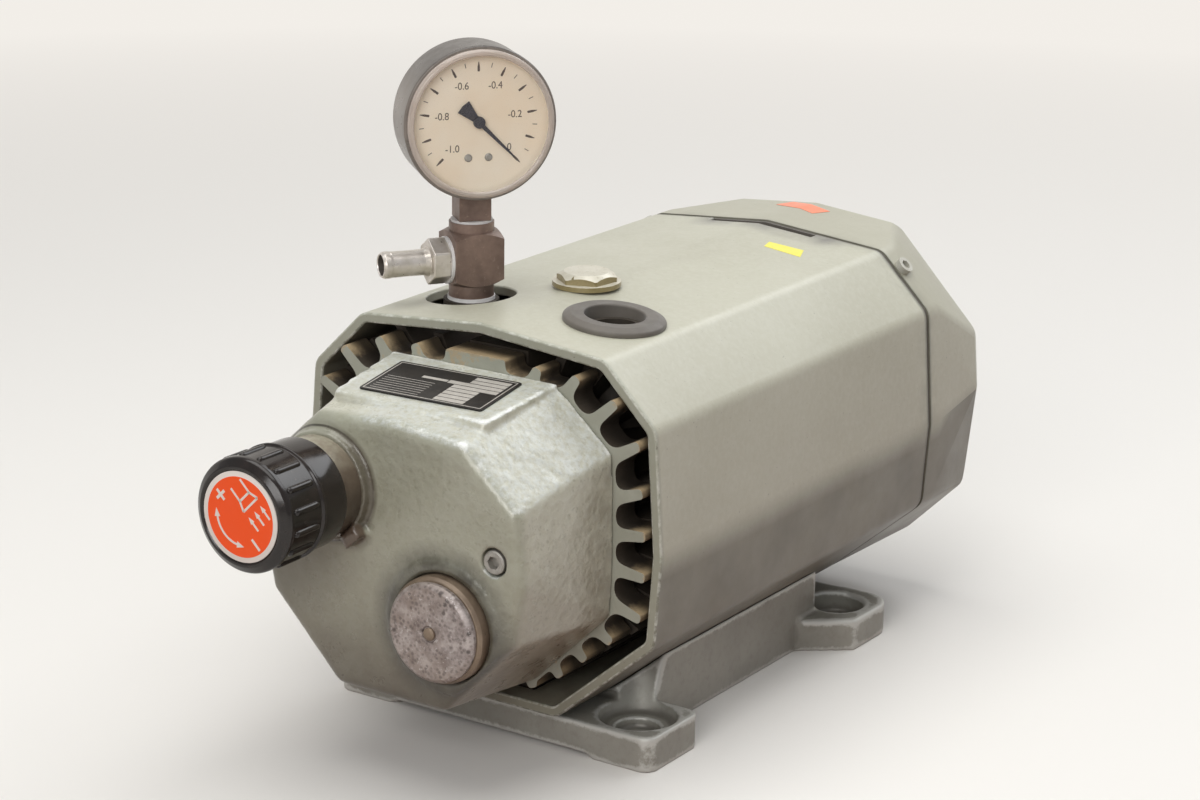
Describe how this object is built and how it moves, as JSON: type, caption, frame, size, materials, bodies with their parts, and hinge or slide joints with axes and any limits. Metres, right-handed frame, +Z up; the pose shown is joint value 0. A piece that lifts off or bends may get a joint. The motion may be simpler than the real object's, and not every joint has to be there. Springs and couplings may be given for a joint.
{
  "type": "rotary vane vacuum pump",
  "caption": "Oil-free rotary vane vacuum pump with a flange motor in an eight-sided cooling hood, a vacuum regulator knob, a gauge and hose nozzle on a tee, and a cast base frame.",
  "frame": {"origin": "floor level at the centre of the four foot holes", "axes": "+X across the pump, to the right seen from the regulator end; +Y along the shaft, towards the fan cowl; +Z up"},
  "size_m": [0.183, 0.403, 0.292],
  "materials": {
    "base_paint": "silver-grey paint over cast aluminium, worn edges",
    "hood_paint": "satin green-grey hammer paint",
    "cover_paint": "coarse green-grey hammer paint on a casting",
    "cast_iron": "as cast, lightly rusted fin tips",
    "bare_aluminium": "as cast",
    "turned_steel": "machined",
    "screw_steel": "dulled",
    "stack_steel": "varnished sheet stack",
    "winding": "resin over copper",
    "carbon": "carbon graphite",
    "black_plastic": "moulded",
    "knob_black": "worn phenolic resin",
    "label_print": "printed foil",
    "plate_print": "black anodised plate with bare fields",
    "rubber": "moulded",
    "yellow_zinc": "yellow zinc, dulled",
    "pitted_zinc": "grey zinc with dark pits",
    "dark_brass": "oxidised dark brown",
    "brass": "bare",
    "ptfe": "white sealing ring",
    "nickel": "dull nickel",
    "gauge_black": "dark grey enamel",
    "window_clear": "clear moulded window",
    "dial_print": "yellowed cream dial",
    "pointer_black": "matt black"
  },
  "bodies": {
    "pump": {"base_frame": "base_paint", "hood": "hood_paint", "port_grommet": "rubber", "lifting_plug": "yellow_zinc", "fan_cowl": "hood_paint", "cowl_seal": "rubber", "cowl_screw_right": "screw_steel", "cowl_screw_left": "screw_steel", "front_cover": "cover_paint", "cover_screw_right": "screw_steel", "cover_screw_left": "screw_steel", "name_plate": "plate_print", "end_plate": "cast_iron", "pump_cylinder": "cast_iron", "drive_plate": "cast_iron", "front_bearing": "turned_steel", "drive_bearing": "turned_steel", "rear_bearing": "turned_steel", "motor_case": "bare_aluminium", "motor_stator": "stack_steel", "winding_front": "winding", "winding_rear": "winding", "rear_shield": "bare_aluminium", "pump_foot_bolt_right": "screw_steel", "pump_foot_bolt_left": "screw_steel", "motor_foot_bolt_right": "screw_steel", "motor_foot_bolt_left": "screw_steel", "regulator_body": "dark_brass", "valve_spring": "turned_steel", "service_plug": "pitted_zinc", "plug_ring": "dark_brass", "plug_pin": "brass", "tee": "dark_brass", "seal_port": "ptfe", "seal_hose": "ptfe", "seal_gauge": "ptfe", "hose_barb": "nickel", "gauge_case": "gauge_black", "gauge_window": "window_clear", "gauge_dial": "dial_print", "gauge_stem": "dark_brass", "bourdon_tube": "dark_brass", "gauge_movement": "brass"},
    "rotating": {"shaft": "turned_steel", "rotor": "turned_steel", "motor_rotor": "stack_steel", "fan": "black_plastic", "vane_1": "carbon", "vane_2": "carbon", "vane_3": "carbon", "vane_4": "carbon", "vane_5": "carbon", "vane_6": "carbon"},
    "knob": {"regulator_knob": "knob_black", "knob_label": "label_print", "regulator_spindle": "turned_steel"},
    "seat": {"spring_seat": "turned_steel"},
    "valve": {"valve_plate": "turned_steel"},
    "pointer": {"gauge_pointer": "pointer_black"}
  },
  "joints": [
    {"name": "rotor_spin", "type": "hinge", "parent": "pump", "child": "rotating", "pos_m": [0, 0, 0.1], "axis": [0, 1, 0], "continuous": true},
    {"name": "knob_turn", "type": "hinge", "parent": "pump", "child": "knob", "pos_m": [-0.031, -0.2, 0.1255], "axis": [0, -1, 0], "range_deg": [-150, 150]},
    {"name": "seat_slide", "type": "slide", "parent": "pump", "child": "seat", "axis": [0, -1, 0], "range_m": [-0.0024, 0.0024], "deforming": ["valve_spring"]},
    {"name": "valve_lift", "type": "slide", "parent": "pump", "child": "valve", "axis": [0, -1, 0], "range_m": [0, 0.003], "stiffness_N_per_m": 250, "deforming": ["valve_spring"]},
    {"name": "needle_swing", "type": "hinge", "parent": "pump", "child": "pointer", "pos_m": [-0.037, -0.07, 0.259], "axis": [0.766, -0.6428, 0], "range_deg": [0, 270]}
  ],
  "couplings": [
    {"joint": "seat_slide", "follows": "knob_turn", "m_per_rad": 0.00091673}
  ]
}
